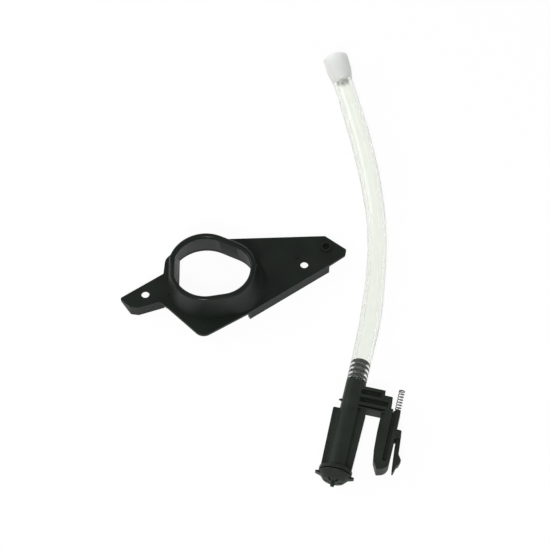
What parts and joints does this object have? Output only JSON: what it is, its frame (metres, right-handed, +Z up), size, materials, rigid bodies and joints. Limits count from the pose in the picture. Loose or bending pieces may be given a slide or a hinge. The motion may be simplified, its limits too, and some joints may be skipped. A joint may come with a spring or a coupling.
{
  "type": "siphon pick-up with collar bracket",
  "caption": "Siphon suction pick-up with a foot valve, a sprung latch leg and a soft hose, laid out beside its flanged filler collar bracket.",
  "frame": {"origin": "bottom centre of the box round the bracket and the siphon, without the hose, on the surface they lie on", "axes": "+X to the viewer's right along the bracket, +Y along the hose away from the siphon's foot, +Z up through the collar"},
  "size_m": [0.1526, 0.2655, 0.028],
  "materials": {
    "black_plastic": "satin moulded",
    "white_plastic": "smooth moulded",
    "steel": "plain",
    "spring_steel": "bright wire",
    "seal_rubber": "matte",
    "silicone": "milky and slightly see-through",
    "clear_plastic": "clear and slightly grey"
  },
  "bodies": {
    "base": {"bracket_plate": "black_plastic", "bracket_collar": "black_plastic", "siphon_frame": "black_plastic", "spigot_oring": "seal_rubber", "valve_sleeve": "black_plastic", "cap_seal": "seal_rubber", "valve_seat": "white_plastic", "ball_cage": "white_plastic", "latch_pin": "black_plastic", "latch_spring": "spring_steel", "suction_hose": "silicone", "hose_cuff": "silicone", "hose_end_connector": "clear_plastic"},
    "cap": {"foot_cap": "black_plastic", "inlet_strainer": "steel"},
    "ball": {"check_ball": "steel"},
    "latch": {"latch_lever": "black_plastic"},
    "slide": {"slider": "black_plastic", "return_spring": "spring_steel"}
  },
  "joints": [
    {"name": "cap_twist", "type": "hinge", "parent": "base", "child": "cap", "pos_m": [0.03859, -0.0663, 0.0088], "axis": [0.2261, 0.9741, 0], "range_deg": [0, 40]},
    {"name": "ball_lift", "type": "slide", "parent": "base", "child": "ball", "axis": [0.2261, 0.9741, 0], "range_m": [0, 0.002]},
    {"name": "latch_pivot", "type": "hinge", "parent": "base", "child": "latch", "pos_m": [0.07238, -0.04499, 0.0088], "axis": [0, 0, -1], "range_deg": [0, 5], "stiffness_Nm_per_rad": 0.02, "springref_deg": -5.73},
    {"name": "slider_travel", "type": "slide", "parent": "base", "child": "slide", "axis": [0.2261, 0.9741, 0], "range_m": [0, 0.005]}
  ]
}
